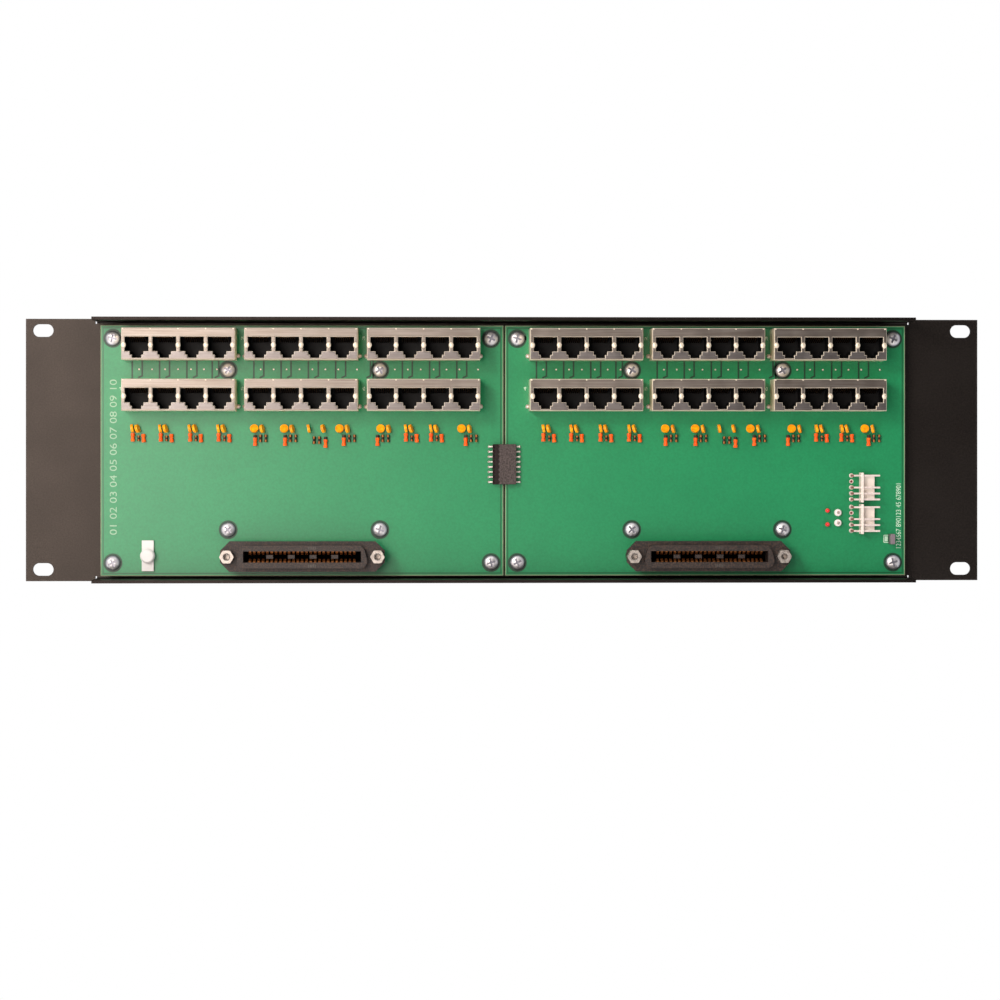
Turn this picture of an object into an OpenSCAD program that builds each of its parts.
// Audio patch bay: a 3U rack panel that carries two jack boards.
// Every module is drawn in a face frame: X to the right, Y up, Z out of the
// panel towards the user, with Z = 0 on the panel's rear mounting face.
// face_frame() turns that frame so that up is +Z and the front looks along -Y.

/* [Rack panel] */
// Width over both rack ears
panel_w = 482.6; // [482:0.1:483]
// Height, three rack units less the usual gap
panel_h = 132.5; // [131.5:0.1:133]
// Thickness of the steel sheet
panel_t = 1.6; // [1.5:0.1:2]
// Reach of the flanges in front of the rear face
flange_depth = 25.4; // [24:0.1:30]
// Length of the two flanges
flange_len = 411; // [409:0.5:414]
// Inner radius of the two bends
bend_inner_r = 0.8; // [0.5:0.1:1.5]
// Distance between the rack slots, across
slot_pitch_x = 465.1; // [465:0.1:465.2]
// Distance between the rack slots, up and down
slot_pitch_y = 120.65; // [120.6:0.05:120.7]
// Length of a rack slot
slot_len = 10.3; // [9:0.1:12]
// Width of a rack slot
slot_w = 6.4; // [6.2:0.1:7]

/* [Boards] */
// Width of a circuit board
board_w = 202.4; // [202:0.1:202.8]
// Height of a circuit board
board_h = 126; // [125:0.5:127]
// Thickness of a circuit board
board_t = 1.6; // [1.5:0.1:1.7]
// Distance between the centres of the two boards
board_pitch = 203.2; // [203.1:0.1:204]
// Height of the boards' centre above the panel's centre
board_rise = -0.3; // [-0.5:0.1:0.3]
// Gap between panel and board
standoff_len = 6.35; // [5:0.05:8]
// Half the distance between the corner screws, across
corner_x = 95; // [94.5:0.25:95.5]
// Half the distance between the corner screws, up and down
corner_y = 56.4; // [55:0.1:57]
// Half the distance between the inner screws, across
inner_x = 38.1; // [37.5:0.1:38.5]
// Distance of the inner screws' middle to the right of the board's centre
inner_shift = 0.9; // [0:0.1:1]
// Height of the upper inner screws above the board's centre
inner_up = 40.5; // [40.4:0.1:40.6]
// Depth of the lower inner screws below the board's centre
inner_down = 39.8; // [38.5:0.1:40.4]

/* [Modular jacks] */
// Width of a block of four jacks
jack_w = 56.4; // [56:0.1:57]
// Height of a block of four jacks
jack_h = 15.9; // [15.8:0.1:16.1]
// Rise of the jacks above the board
jack_rise = 15.9; // [15.5:0.1:16.5]
// Distance between the blocks in a row
jack_pitch = 60.96; // [60:0.02:61]
// Distance between the two rows of blocks
row_pitch = 25.4; // [25.2:0.1:25.6]
// Height of the upper row's centre above the board's centre
upper_row_y = 53.15; // [53:0.05:53.3]
// Distance between neighbouring ports in a block
port_pitch = 13.7; // [13.6:0.1:13.8]
// Width of a port
port_w = 11.8; // [11.7:0.1:11.9]
// Height of a port's main opening
port_h = 7.2; // [7:0.1:7.4]
// Height of the band above the ports
port_band = 4.5; // [4.3:0.1:4.6]
// Depth of a port behind the face
port_depth = 12.5; // [11:0.5:14]

/* [Multi-pair connector] */
// Length of the connector's plate
telco_len = 82; // [81:0.5:84]
// Height of the connector's plate
telco_h = 15.2; // [14.8:0.1:15.4]
// Rise of the plate's front above the board
telco_plate_rise = 11; // [10:0.5:12]
// Rise of the connector's mating face above the board
telco_rise = 15.5; // [15:0.5:16.5]
// Distance of the connector's centre below the board's centre
telco_down = 52.9; // [52:0.1:53]
// Distance of the connector's centre to the right of the board's centre
telco_shift = 0.5; // [0:0.1:1]
// Distance between the two screwlocks
lock_pitch = 75; // [74.8:0.1:75.2]
// Distance between neighbouring contacts
contact_pitch = 2.16; // [2.1:0.01:2.2]

/* [Hidden] */
$fn = 40;

// How far a cut runs past the face that it opens
past = 1;

board_rear = panel_t + standoff_len;
board_front = board_rear + board_t;
bend_r = bend_inner_r + panel_t;
relief_w = 0.8;
relief_h = bend_r + 0.1;

// Standoffs and board screws
standoff_r = 3.55;
standoff_hex_af = 7.9;
standoff_hex_t = 0.9;
thread_r = 2;
thread_gap = 0.03;
screw_hole_r = 2.25;
head_r = 3.6;
head_h = 2.7;
head_dome_r = 5.6;
shank_len = 7.2;
recess_len = 4.3;
recess_w = 1;
recess_depth = 1.3;

// Modular jacks
shield_t = 0.3;
shield_gap = 0.05;
ports = 4;
blocks = 3;
wires = 8;
wire_pitch = 1.02;
wire_t = 0.33;
wire_w = 0.45;
wire_drop = 2.4;
wire_inset = 1.7;
wire_straight = 1.2;
wire_tail = 1.1;
wire_knee = 0.2;
latch_w = [6.7, 4.6];
latch_h = [1.7, 1.6];
rib_w = port_pitch - port_w;
rib_ridge = 0.35;
spring_y = -0.65;
spring_r = 2.2;
spring_proud = 0.3;
port_top = jack_h / 2 - port_band;
port_floor = jack_rise - shield_t - port_depth;

// Multi-pair connector
pairs = 25;
telco_chamfer = 4.6;
telco_plate_t = 2.4;
telco_base_len = 66;
telco_base_h = 12.4;
telco_post_r = 3.4;
shell_top_w = 62.6;
shell_bottom_w = 64.8;
shell_h = 11.4;
shell_corner_r = 3.6;
slot_cut_w = 58.6;
slot_cut_h = 5.6;
slot_floor = 5;
rib_top = 13.6;
rib_t = 3.4;
contact_w = 1.2;
contact_t = 0.3;
crown_y = 1;
tip_y = 2.35;
knee_drop = 5.2;
crown_drop = 2.4;
tip_drop = 0.6;
rib_gap = 0.1;
lock_af = 6.35;
lock_top = 16;
lock_thread_r = 1.42;
lock_thread_len = 4.6;
lock_stud_r = 1.1;
lock_stud_len = 6;
lock_sink = 0.5;
lock_corner_cut = 0.2;

// Link block across the two boards
link_y = -6.9;
link_w = 11.8;
link_h = 20.2;
link_rise = 4.9;
link_lift = 0.5;
link_strip_w = 2.7;
link_strip_drop = 0.7;
link_notch_w = 1;
link_notch_depth = 2;
link_ways = 8;
link_pitch = 2.54;
link_reach = 7.9;
link_lead_lift = 1.6;
link_lead_w = 0.7;
link_lead_t = 0.35;

// Small parts: a group serves one pair of ports. Each kind lists its parts as
// [kind of body, x, y, turn], measured from the group's upper left disc. The
// lower parts of kind B stand a little to one side in some groups.
disc_y = 11.05;
kind_a = [
    ["disc", 0, 0, 10],
    ["leaning_disc", 2.6, 0, 16],
    ["diode", 0.1, -4.4, 0],
    ["diode", 5.5, -4.8, 3],
    ["short_resistor", 3, -4.9, 0]
];
function kind_b(aside) = [
    ["flat_disc", 0, 0, 0],
    ["leaning_disc", 4, -0.1, 12],
    ["bead", aside + 0.4, -3.8, 0],
    ["diode", aside + 0.4, -6.6, 0],
    ["resistor", aside + 3, -4.9, 0],
    ["resistor", aside + 5.7, -4.9, 0]
];
kind_c = [
    ["disc", 0, 0, 10],
    ["leaning_disc", 7.3, 0, 14],
    ["resistor", 2.6, -5.8, 0],
    ["resistor", 5.2, -5.8, 0],
    ["bead", 8.4, -4.7, 0],
    ["diode", 8.4, -7.5, 0]
];
group_kinds = [
    kind_a, kind_a, kind_a, kind_a, kind_b(0), kind_b(0),
    kind_c, kind_b(1.8), kind_b(-2), kind_a, kind_a, kind_b(1.8)
];
// Where the groups' first discs stand on the left and on the right board
group_x = [
    [-85, -71, -56.3, -42, -24, -9, 3.3, 18.7, 39.4, 52, 64.6, 80],
    [-82, -68, -53.2, -38.8, -20.6, -5.5, 6.7, 22.4, 43.3, 55.8, 68.6, 80.3]
];
disc_r = 2.1;
disc_t = 1.25;
disc_rise = 3.4;
disc_side_lean = 16;
flat_disc_rise = 2.9;
flat_disc_lean = 28;
lead_r = 0.28;
lead_pitch = 2.54;
lead_inset = 0.5;
diode_len = 4.1;
diode_r = 1;
resistor_len = 3.7;
resistor_r = 0.82;
short_resistor_len = 2.8;
bead_len = 1.2;
bead_r = 0.85;
waist = 0.8;
body_lift = 0.4;

// Power headers on the right board
header_y = [-18.6, -34.5];
header_bar_x = 77.9;
header_bar_w = 1.4;
header_bar_h = 15;
header_bar_rise = 6.4;
header_shelf_x = 85.3;
header_shelf_h = 12.7;
header_shelf_lift = 1.2;
header_shelf_t = 1.5;
header_pad_x = 74;
header_tip_x = 87.7;
header_pitch = 3;
header_pins = [-2, 0, 1, 2];
header_hooks = [0, 1];
header_hook = 1.2;
header_hook_h = 0.8;
header_hook_inset = 0.4;
header_pin = 0.9;
header_pin_gap = 0.05;
header_pin_rise = 5;

// Indicators, test terminals, jumper and tie anchor
led_x = 61.8;
led_y = [-30.3, -37.3];
led_r = 0.9;
led_rise = 3;
led_collar_r = 1.05;
led_collar_h = 0.8;
terminal_x = 67;
terminal_y = [-31.3, -36.5];
terminal_r = 1.75;
terminal_rise = 2.4;
terminal_pin_r = 0.55;
terminal_pin_rise = 3.4;
terminal_gap = 0.03;
bush_chamfer = 0.5;
pin_chamfer = 0.25;
jumper_x = 94;
jumper_y = -44.6;
jumper_pitch = 2.54;
jumper_base_h = 2;
jumper_pin = 0.64;
jumper_pin_rise = 6;
jumper_pin_gap = 0.04;
shunt_w = 2.2;
shunt_len = 5.1;
shunt_h = 4.4;
shunt_lift = 0.15;
shunt_wall = 0.35;
clip_t = 0.2;
clip_w = 1;
clip_len = 3.2;
clip_gap = 0.03;
anchor_x = -77.4;
anchor_y = -52.8;
anchor_w = 5.9;
anchor_len = 15.4;
anchor_foot_t = 1.8;
anchor_boss_r = 3.6;
anchor_rise = 4.8;
anchor_round = 0.8;
anchor_tie_w = 4.6;
anchor_tie_h = 1.7;

left = -1;
right = 1;

// ---- Frames and shared shapes ----

// Turns the face frame upright
module face_frame() {
    rotate([90, 0, 0]) children();
}

// The centre of a board's front face
module on_board(side) {
    face_frame()
        translate([side * board_pitch / 2, board_rise, board_front])
            children();
}

// Every screw position of a board
module at_screws() {
    for (x = [-1, 1]) {
        for (y = [-corner_y, corner_y]) translate([x * corner_x, y, 0]) children();
        for (y = [-inner_down, inner_up]) translate([x * inner_x + inner_shift, y, 0]) children();
    }
}

// The centre of jack block number i: blocks 0 to 5 are the upper row and
// 6 to 11 the lower row, counted from the left across both boards
function block_side(i) = (i % 6) < blocks ? left : right;
function block_x(i) = ((i % blocks) - 1) * jack_pitch;
function block_y(i) = upper_row_y - floor(i / 6) * row_pitch;

module at_block(i) {
    on_board(block_side(i)) translate([block_x(i), block_y(i), 0]) children();
}

// The ports of a block
module at_ports() {
    for (i = [0 : ports - 1])
        translate([(i - (ports - 1) / 2) * port_pitch, 0, 0]) children();
}

// A straight-sided slot with round ends
module slot_outline(len, w) {
    square([len - w, w], center = true);
    for (x = [-1, 1]) translate([x * (len - w) / 2, 0]) circle(d = w);
}

// A box given by its low corner and its size, centred across X and Y
module slab(w, h, low, high) {
    translate([-w / 2, -h / 2, low]) cube([w, h, high - low]);
}

function hex_r(af) = af / 2 / cos(30);

// ---- Panel, standoffs, boards and screws ----

// Half of the panel's section: X runs out of the panel and Y runs up
module flange_profile() {
    square([panel_t, panel_h / 2 - bend_r]);
    translate([bend_r, panel_h / 2 - panel_t])
        square([flange_depth - bend_r, panel_t]);
    translate([bend_r, panel_h / 2 - bend_r]) intersection() {
        difference() {
            circle(r = bend_r);
            circle(r = bend_inner_r);
        }
        translate([-bend_r, 0]) square(bend_r);
    }
}

module channel() {
    for (m = [0, 1]) mirror([0, m, 0])
        translate([flange_len / 2, 0, 0]) rotate([0, -90, 0])
            linear_extrude(flange_len) flange_profile();
}

module ears() {
    ear_w = (panel_w - flange_len) / 2;
    for (m = [0, 1]) mirror([m, 0, 0]) difference() {
        translate([flange_len / 2, -panel_h / 2, 0])
            cube([ear_w, panel_h, panel_t]);
        for (y = [-1, 1]) {
            translate([flange_len / 2 + relief_w / 2, y * panel_h / 2, 0])
                slab(relief_w, 2 * relief_h, -past, panel_t + past);
            translate([slot_pitch_x / 2, y * slot_pitch_y / 2, -past])
                linear_extrude(panel_t + 2 * past) slot_outline(slot_len, slot_w);
        }
    }
}

module standoff_holes() {
    for (side = [left, right])
        translate([side * board_pitch / 2, board_rise, 0]) at_screws() {
            translate([0, 0, -past]) cylinder(r = standoff_r, h = panel_t + 2 * past);
            translate([0, 0, -past])
                cylinder(r = hex_r(standoff_hex_af), h = standoff_hex_t + past, $fn = 6);
        }
}

module rack_panel() {
    color([0.1, 0.1, 0.1]) face_frame() difference() {
        union() {
            channel();
            ears();
        }
        standoff_holes();
    }
}

module standoff() {
    difference() {
        union() {
            cylinder(r = hex_r(standoff_hex_af), h = standoff_hex_t, $fn = 6);
            cylinder(r = standoff_r, h = board_rear);
        }
        translate([0, 0, -past]) cylinder(r = thread_r + thread_gap, h = board_rear + 2 * past);
    }
}

module standoffs(side) {
    color([0.7, 0.7, 0.68]) face_frame()
        translate([side * board_pitch / 2, board_rise, 0]) at_screws() standoff();
}

module board(side) {
    color([0.15, 0.6, 0.38]) on_board(side) translate([0, 0, -board_t]) difference() {
        slab(board_w, board_h, 0, board_t);
        at_screws() translate([0, 0, -past]) cylinder(r = screw_hole_r, h = board_t + 2 * past);
    }
}

// A pan head screw whose head sits at Z = 0, stopped with its recess turned
module board_screw(turn) {
    difference() {
        union() {
            intersection() {
                cylinder(r = head_r, h = head_h);
                translate([0, 0, head_h - head_dome_r]) sphere(r = head_dome_r, $fn = 60);
            }
            translate([0, 0, -shank_len]) cylinder(r = thread_r, h = shank_len);
        }
        for (a = [0, 90]) rotate([0, 0, a + turn])
            slab(recess_len, recess_w, head_h - recess_depth, head_h + past);
    }
}

module board_screws(side) {
    color([0.8, 0.8, 0.8]) on_board(side) for (x = [-1, 1]) {
        for (y = [-1, 1])
            translate([x * corner_x, y * corner_y, 0]) board_screw(40 * x + 25 * y);
        translate([x * inner_x + inner_shift, inner_up, 0]) board_screw(33 * x);
        translate([x * inner_x + inner_shift, -inner_down, 0]) board_screw(12 - 30 * x);
    }
}

// ---- Modular jacks ----

// The opening of one port: the main window and two steps for the latch
module port_outline() {
    translate([-port_w / 2, port_top - port_h]) square([port_w, port_h]);
    translate([-latch_w[0] / 2, port_top - port_h - latch_h[0]])
        square([latch_w[0], latch_h[0] + past]);
    translate([-latch_w[1] / 2, port_top - port_h - latch_h[0] - latch_h[1]])
        square([latch_w[1], latch_h[1] + past]);
}

// The rolled edge on a rib between two ports
module shield_rib() {
    rib_len = port_h;
    roll_r = (rib_w * rib_w / 4 + rib_ridge * rib_ridge) / (2 * rib_ridge);
    intersection() {
        translate([0, port_top, rib_ridge - roll_r]) rotate([90, 0, 0])
            cylinder(r = roll_r, h = rib_len);
        translate([-rib_w / 2, port_top - rib_len, -shield_t / 2])
            cube([rib_w, rib_len, shield_t + rib_ridge]);
    }
}

// The domed grounding spring in the middle of a rib
module shield_spring() {
    translate([0, spring_y, 0]) intersection() {
        translate([0, 0, spring_proud - spring_r]) sphere(r = spring_r);
        slab(2 * spring_r, 2 * spring_r, -shield_t, spring_proud + past);
    }
}

module shield_ribs() {
    for (i = [1 : ports - 1]) translate([(i - ports / 2) * port_pitch, 0, jack_rise]) {
        shield_rib();
        shield_spring();
    }
}

module jack_shield(i) {
    color([0.75, 0.72, 0.68]) at_block(i) {
        difference() {
            slab(jack_w, jack_h, 0, jack_rise);
            slab(jack_w - 2 * shield_t, jack_h - 2 * shield_t, -past, jack_rise - shield_t);
            at_ports() linear_extrude(jack_rise + past) port_outline();
        }
        shield_ribs();
    }
}

module jack_housing(i) {
    inset = 2 * (shield_t + shield_gap);
    color([0.09, 0.09, 0.1]) at_block(i) difference() {
        slab(jack_w - inset, jack_h - inset, 0, jack_rise - shield_t - shield_gap);
        at_ports() translate([0, 0, port_floor])
            linear_extrude(port_depth + past) port_outline();
    }
}

// A contact wire: it starts on the band side of the mouth and leans into the port
module jack_wire() {
    mouth = jack_rise - wire_inset;
    bend = mouth - wire_straight;
    tail = port_floor + wire_tail;
    rotate([90, 0, 90]) translate([0, 0, -wire_w / 2]) linear_extrude(wire_w) polygon([
        [port_top, mouth],
        [port_top, bend],
        [port_top - wire_drop + wire_t, tail],
        [port_top - wire_drop, tail],
        [port_top - wire_t, bend + wire_knee],
        [port_top - wire_t, mouth]
    ]);
}

module jack_contacts(side, row) {
    first = 6 * row + (side == left ? 0 : blocks);
    color([0.85, 0.68, 0.3])
        for (i = [first : first + blocks - 1]) at_block(i) at_ports()
            for (k = [0 : wires - 1])
                translate([(k - (wires - 1) / 2) * wire_pitch, 0, 0]) jack_wire();
}

// ---- Multi-pair connector ----

module on_telco(side) {
    on_board(side) translate([telco_shift, -telco_down, 0]) children();
}

module telco_plate_outline() {
    x = telco_len / 2;
    y = telco_h / 2;
    c = telco_chamfer;
    polygon([
        [-x, -y + c], [-x + c, -y], [x - c, -y], [x, -y + c],
        [x, y - c], [x - c, y], [-x + c, y], [-x, y - c]
    ]);
}

// A polygon grown outwards by r with true arcs at its corners, which run
// anticlockwise
module rounded_polygon(corners, r) {
    n = len(corners);
    polygon(corners);
    for (i = [0 : n - 1]) {
        p = corners[i];
        q = corners[(i + 1) % n];
        along = (q - p) / norm(q - p);
        out = [along[1], -along[0]] * r;
        polygon([p, p + out, q + out, q]);
        translate(p) circle(r = r);
    }
}

module telco_shell_outline() {
    r = shell_corner_r;
    low = shell_bottom_w / 2 - r;
    top = shell_top_w / 2 - r;
    y = shell_h / 2 - r;
    rounded_polygon([[-low, -y], [low, -y], [top, y], [-top, y]], r);
}

module telco_locks_at() {
    for (x = [-1, 1]) translate([x * lock_pitch / 2, 0, 0]) children();
}

module telco_body() {
    slab(telco_base_len, telco_base_h, 0, telco_plate_rise - telco_plate_t);
    telco_locks_at() cylinder(r = telco_post_r, h = telco_plate_rise - telco_plate_t);
    translate([0, 0, telco_plate_rise - telco_plate_t])
        linear_extrude(telco_plate_t) telco_plate_outline();
    linear_extrude(telco_rise) telco_shell_outline();
}

// The four ribs that split the slot after every fifth contact
module telco_ribs() {
    for (i = [-1.5 : 1 : 1.5])
        translate([i * 5 * contact_pitch, 0, 0])
            slab(rib_t, 2 * (crown_y - rib_gap), slot_floor, rib_top);
}

module telco_housing(side) {
    color([0.16, 0.14, 0.14]) on_telco(side) {
        difference() {
            telco_body();
            slab(slot_cut_w, slot_cut_h, slot_floor, telco_rise + past);
            telco_locks_at() translate([0, 0, telco_plate_rise - lock_stud_len])
                cylinder(r = lock_stud_r + thread_gap, h = lock_stud_len + past);
        }
        telco_ribs();
    }
}

// A ribbon contact: up the slot's wall, in to its crown and back out to its tip
module telco_contact() {
    wall = slot_cut_h / 2;
    rotate([90, 0, 90]) translate([0, 0, -contact_w / 2]) linear_extrude(contact_w)
        polygon([
            [wall, slot_floor],
            [wall, telco_rise - knee_drop],
            [crown_y + contact_t, telco_rise - crown_drop],
            [tip_y + contact_t, telco_rise - tip_drop],
            [tip_y, telco_rise - tip_drop],
            [crown_y, telco_rise - crown_drop],
            [wall - contact_t, telco_rise - knee_drop],
            [wall - contact_t, slot_floor]
        ]);
}

module telco_contacts(side) {
    color([0.75, 0.55, 0.25]) on_telco(side)
        for (m = [0, 1]) mirror([0, m, 0])
            for (i = [0 : pairs - 1])
                translate([(i - (pairs - 1) / 2) * contact_pitch, 0, 0]) telco_contact();
}

module screwlock() {
    base = telco_plate_rise;
    difference() {
        union() {
            translate([0, 0, base]) intersection() {
                cylinder(r = hex_r(lock_af), h = lock_top - base, $fn = 6);
                cylinder(r1 = lock_af, r2 = hex_r(lock_af) - lock_corner_cut, h = lock_top - base);
            }
            translate([0, 0, base - lock_stud_len])
                cylinder(r = lock_stud_r, h = lock_stud_len);
        }
        translate([0, 0, lock_top - lock_thread_len])
            cylinder(r = lock_thread_r, h = lock_thread_len + past);
        translate([0, 0, lock_top - lock_sink])
            cylinder(r1 = lock_thread_r, r2 = lock_thread_r + lock_sink + past,
                     h = lock_sink + past);
    }
}

module telco_screwlocks(side) {
    color([0.85, 0.82, 0.78]) on_telco(side) telco_locks_at() screwlock();
}

// ---- Link block across the gap between the boards ----

module on_link() {
    face_frame() translate([0, board_rise + link_y, board_front]) children();
}

module at_link_ways() {
    for (i = [0 : link_ways - 1])
        translate([0, (i - (link_ways - 1) / 2) * link_pitch, 0]) children();
}

module link_block() {
    strip_x = link_strip_w - link_w / 2;
    color([0.25, 0.22, 0.22]) on_link() difference() {
        slab(link_w, link_h, link_lift, link_rise);
        translate([-link_w / 2 - past, -link_h / 2 - past, link_rise - link_strip_drop])
            cube([strip_x + link_w / 2 + past, link_h + 2 * past, link_strip_drop + past]);
        at_link_ways() translate([-link_w / 2 - past, -link_pitch / 4, link_rise - link_notch_depth])
            cube([link_notch_w + past, link_pitch / 2, link_notch_depth + past]);
    }
}

// A lead leaves the block's side, runs out and turns down onto its board
module link_lead() {
    lift = link_lead_lift;
    translate([0, link_lead_w / 2, 0]) rotate([90, 0, 0]) linear_extrude(link_lead_w)
        polygon([
            [link_w / 2, lift],
            [link_reach - link_lead_t, lift],
            [link_reach - link_lead_t, 0],
            [link_reach, 0],
            [link_reach, lift + link_lead_t],
            [link_w / 2, lift + link_lead_t]
        ]);
}

module link_leads() {
    color([0.8, 0.78, 0.72]) on_link() at_link_ways()
        for (m = [0, 1]) mirror([m, 0, 0]) link_lead();
}

// ---- Small parts ----

// Two straight leads from a body down to the board, apart along Y
module lead_pair(pitch, high) {
    for (y = [-1, 1]) translate([0, y * pitch / 2, 0]) cylinder(r = lead_r, h = high, $fn = 16);
}

// A resettable fuse that stands on edge, and may lean to its left
module fuse_disc(lean) {
    translate([0, 0, disc_rise]) rotate([0, 90 - lean, 0])
        translate([0, 0, -disc_t / 2]) cylinder(r = disc_r, h = disc_t);
    lead_pair(lead_pitch, disc_rise);
}

// A resettable fuse that leans back and shows its face: each lead ends in its disc
module fuse_flat_disc() {
    translate([0, 0, flat_disc_rise]) rotate([-flat_disc_lean, 0, 0])
        translate([0, 0, -disc_t / 2]) cylinder(r = disc_r, h = disc_t);
    for (y = [-1, 1] * lead_pitch / 2) translate([0, y, 0])
        cylinder(r = lead_r, h = flat_disc_rise - y * tan(flat_disc_lean), $fn = 16);
}

// A body along Y with fuller ends, on two leads that are bent down under it
module waisted_part(len, r) {
    rise = r + body_lift;
    cap = len / 3;
    translate([0, 0, rise]) rotate([90, 0, 0]) {
        for (z = [-1, 1]) translate([0, 0, z * (len - cap) / 2])
            cylinder(r = r, h = cap, center = true);
        cylinder(r = r * waist, h = len / 2, center = true);
    }
    lead_pair(len - 2 * lead_inset, rise);
}

// A bead along Y on one lead
module bead() {
    rise = bead_r + body_lift;
    translate([0, 0, rise]) rotate([90, 0, 0]) cylinder(r = bead_r, h = bead_len, center = true);
    cylinder(r = lead_r, h = rise, $fn = 16);
}

// Puts the children at every part of one kind, over all the groups of a board
module at_parts(side, kind) {
    places = group_x[side == left ? 0 : 1];
    on_board(side) for (i = [0 : len(places) - 1]) for (part = group_kinds[i])
        if (part[0] == kind)
            translate([places[i] + part[1], disc_y + part[2], 0]) rotate([0, 0, part[3]])
                children();
}

module fuse_discs(side) {
    color([1, 0.7, 0.05]) {
        at_parts(side, "disc") fuse_disc(0);
        at_parts(side, "leaning_disc") fuse_disc(disc_side_lean);
        at_parts(side, "flat_disc") fuse_flat_disc();
    }
}

module diodes(side) {
    color([1, 0.35, 0.05]) at_parts(side, "diode") waisted_part(diode_len, diode_r);
}

module resistors(side) {
    color([0.4, 0.18, 0.1]) {
        at_parts(side, "resistor") waisted_part(resistor_len, resistor_r);
        at_parts(side, "short_resistor") waisted_part(short_resistor_len, resistor_r);
    }
}

module ferrite_beads() {
    color([0.2, 0.12, 0.08]) for (side = [left, right]) at_parts(side, "bead") bead();
}

// ---- Power headers ----

module at_headers() {
    on_board(right) for (y = header_y) translate([0, y, 0]) children();
}

module at_header_pins() {
    for (k = header_pins) translate([0, -k * header_pitch, 0]) children();
}

module power_header_body() {
    hole = header_pin + 2 * header_pin_gap;
    difference() {
        union() {
            translate([header_bar_x, -header_bar_h / 2, 0])
                cube([header_bar_w, header_bar_h, header_bar_rise]);
            translate([header_bar_x + header_bar_w, -header_shelf_h / 2, header_shelf_lift])
                cube([header_shelf_x - header_bar_x - header_bar_w, header_shelf_h, header_shelf_t]);
        }
        at_header_pins() translate([header_bar_x - past, -hole / 2, header_pin_rise - hole / 2])
            cube([header_bar_w + 2 * past, hole, hole]);
    }
}

// The hooks on the shelf that hold the plug
module power_header_hooks() {
    top = header_shelf_lift + header_shelf_t;
    for (k = header_hooks)
        translate([header_shelf_x - header_hook_inset - header_hook / 2, -k * header_pitch, 0])
            slab(header_hook, header_hook, header_shelf_lift, top + header_hook_h);
}

module power_header_bodies() {
    color([0.92, 0.9, 0.85]) at_headers() {
        power_header_body();
        power_header_hooks();
    }
}

// A square pin that rises from its pad and turns towards the board's edge
module power_header_pin() {
    half = header_pin / 2;
    translate([0, half, 0]) rotate([90, 0, 0]) linear_extrude(header_pin) polygon([
        [header_pad_x - half, 0],
        [header_pad_x + half, 0],
        [header_pad_x + half, header_pin_rise - half],
        [header_tip_x, header_pin_rise - half],
        [header_tip_x, header_pin_rise + half],
        [header_pad_x - half, header_pin_rise + half]
    ]);
}

module power_header_pins() {
    color([0.85, 0.83, 0.8]) at_headers() at_header_pins() power_header_pin();
}

// ---- Indicators, terminals, jumper and anchor ----

module power_leds() {
    color([0.9, 0.15, 0.15]) on_board(right) for (y = led_y) translate([led_x, y, 0]) {
        cylinder(r = led_collar_r, h = led_collar_h);
        cylinder(r = led_r, h = led_rise - led_r);
        translate([0, 0, led_rise - led_r]) sphere(r = led_r);
    }
}

module at_terminals() {
    on_board(right) for (y = terminal_y) translate([terminal_x, y, 0]) children();
}

module test_terminal_bushes() {
    color([0.95, 0.93, 0.92]) at_terminals() difference() {
        union() {
            cylinder(r = terminal_r, h = terminal_rise - bush_chamfer);
            translate([0, 0, terminal_rise - bush_chamfer])
                cylinder(r1 = terminal_r, r2 = terminal_r - bush_chamfer, h = bush_chamfer);
        }
        translate([0, 0, -past])
            cylinder(r = terminal_pin_r + terminal_gap, h = terminal_rise + 2 * past);
    }
}

module test_terminal_pins() {
    color([0.6, 0.6, 0.62]) at_terminals() {
        cylinder(r = terminal_pin_r, h = terminal_pin_rise - pin_chamfer);
        translate([0, 0, terminal_pin_rise - pin_chamfer])
            cylinder(r1 = terminal_pin_r, r2 = terminal_pin_r - pin_chamfer, h = pin_chamfer);
    }
}

module on_jumper() {
    on_board(right) translate([jumper_x, jumper_y, 0]) children();
}

module at_jumper_pins() {
    for (y = [-1, 1]) translate([0, y * jumper_pitch / 2, 0]) children();
}

module jumper_base() {
    hole = jumper_pin + 2 * jumper_pin_gap;
    color([0.1, 0.1, 0.1]) on_jumper() difference() {
        slab(jumper_pitch, 2 * jumper_pitch, 0, jumper_base_h);
        at_jumper_pins() slab(hole, hole, -past, jumper_base_h + past);
    }
}

module jumper_pins() {
    color([0.85, 0.75, 0.45]) on_jumper() at_jumper_pins()
        slab(jumper_pin, jumper_pin, 0, jumper_pin_rise);
}

// The shunt is an open-bottomed cap over both pins
module jumper_shunt() {
    low = jumper_base_h + shunt_lift;
    color([0.45, 0.4, 0.43]) on_jumper() difference() {
        slab(shunt_w, shunt_len, low, low + shunt_h);
        slab(shunt_w - 2 * shunt_wall, shunt_len - 2 * shunt_wall,
             low - past, low + shunt_h - shunt_wall);
    }
}

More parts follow.
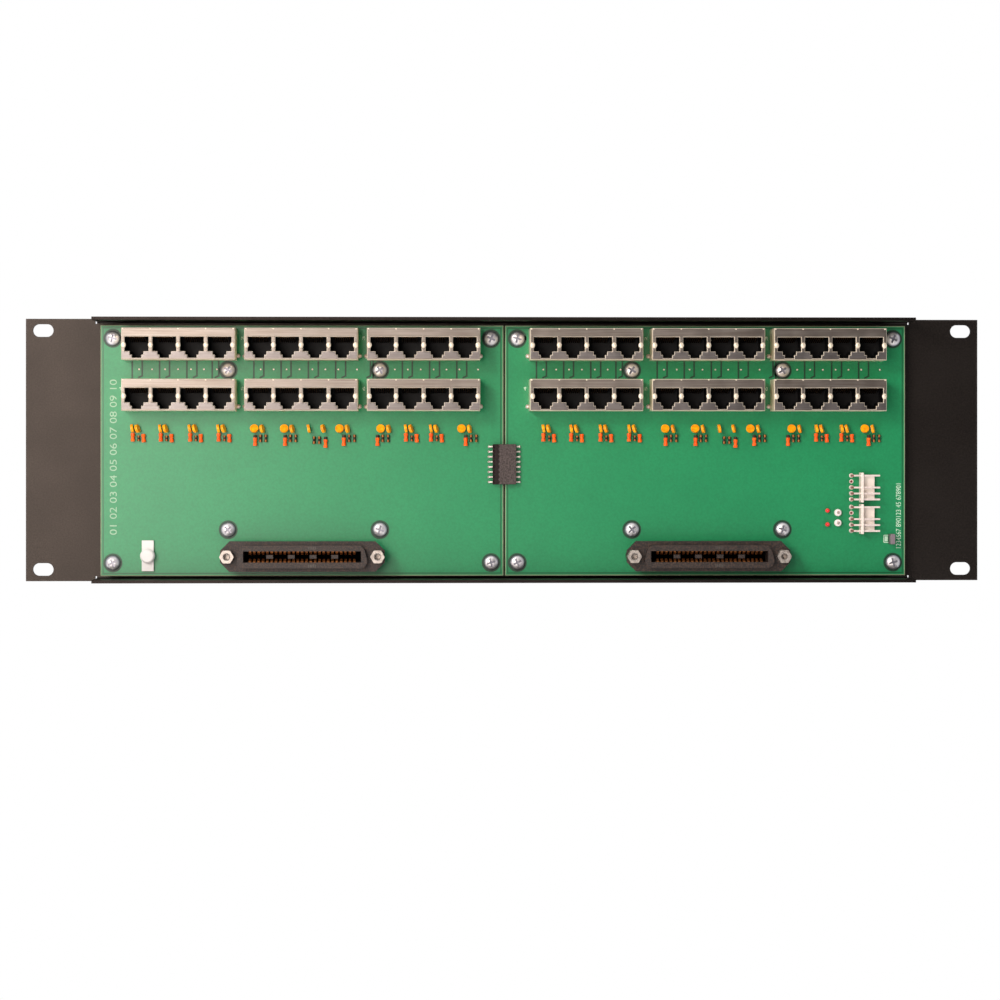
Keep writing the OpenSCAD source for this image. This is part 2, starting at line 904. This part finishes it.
// The clip inside the shunt: a bridge and two leaves beside each pin
module jumper_clip() {
    top = jumper_base_h + shunt_lift + shunt_h - shunt_wall;
    leaf_x = jumper_pin / 2 + clip_gap;
    color([0.8, 0.6, 0.3]) on_jumper() {
        slab(2 * (leaf_x + clip_t), shunt_len - 2 * shunt_wall, top - clip_t, top);
        at_jumper_pins() for (m = [0, 1]) mirror([m, 0, 0])
            translate([leaf_x, -clip_w / 2, top - clip_len]) cube([clip_t, clip_w, clip_len]);
    }
}

// A nylon anchor: a foot with a round boss, and a tunnel through it for a cable tie
module tie_anchor() {
    color([0.93, 0.92, 0.9]) on_board(left) translate([anchor_x, anchor_y, 0]) difference() {
        union() {
            slab(anchor_w, anchor_len, 0, anchor_foot_t);
            cylinder(r = anchor_boss_r, h = anchor_rise - anchor_round);
            translate([0, 0, anchor_rise - anchor_round])
                cylinder(r1 = anchor_boss_r, r2 = anchor_boss_r - anchor_round, h = anchor_round);
        }
        slab(2 * (anchor_boss_r + past), anchor_tie_w, anchor_foot_t, anchor_foot_t + anchor_tie_h);
    }
}

// ---- Nodes ----

rack_panel();
standoffs(left);  // standoffs_left
standoffs(right);  // standoffs_right
board(left);  // left_board
board(right);  // right_board
board_screws(left);  // board_screws_left
board_screws(right);  // board_screws_right
for (i = [0 : 11]) {
    jack_shield(i);
    jack_housing(i);
}
jack_contacts(left, 0);  // jack_contacts_upper_left
jack_contacts(right, 0);  // jack_contacts_upper_right
jack_contacts(left, 1);  // jack_contacts_lower_left
jack_contacts(right, 1);  // jack_contacts_lower_right
telco_housing(left);  // telco_housing_left
telco_housing(right);  // telco_housing_right
telco_contacts(left);  // telco_contacts_left
telco_contacts(right);  // telco_contacts_right
telco_screwlocks(left);  // telco_screwlocks_left
telco_screwlocks(right);  // telco_screwlocks_right
link_block();
link_leads();
fuse_discs(left);  // fuse_discs_left
fuse_discs(right);  // fuse_discs_right
diodes(left);  // diodes_left
diodes(right);  // diodes_right
resistors(left);  // resistors_left
resistors(right);  // resistors_right
ferrite_beads();
power_header_bodies();
power_header_pins();
power_leds();
test_terminal_bushes();
test_terminal_pins();
jumper_base();
jumper_pins();
jumper_shunt();
jumper_clip();
tie_anchor();
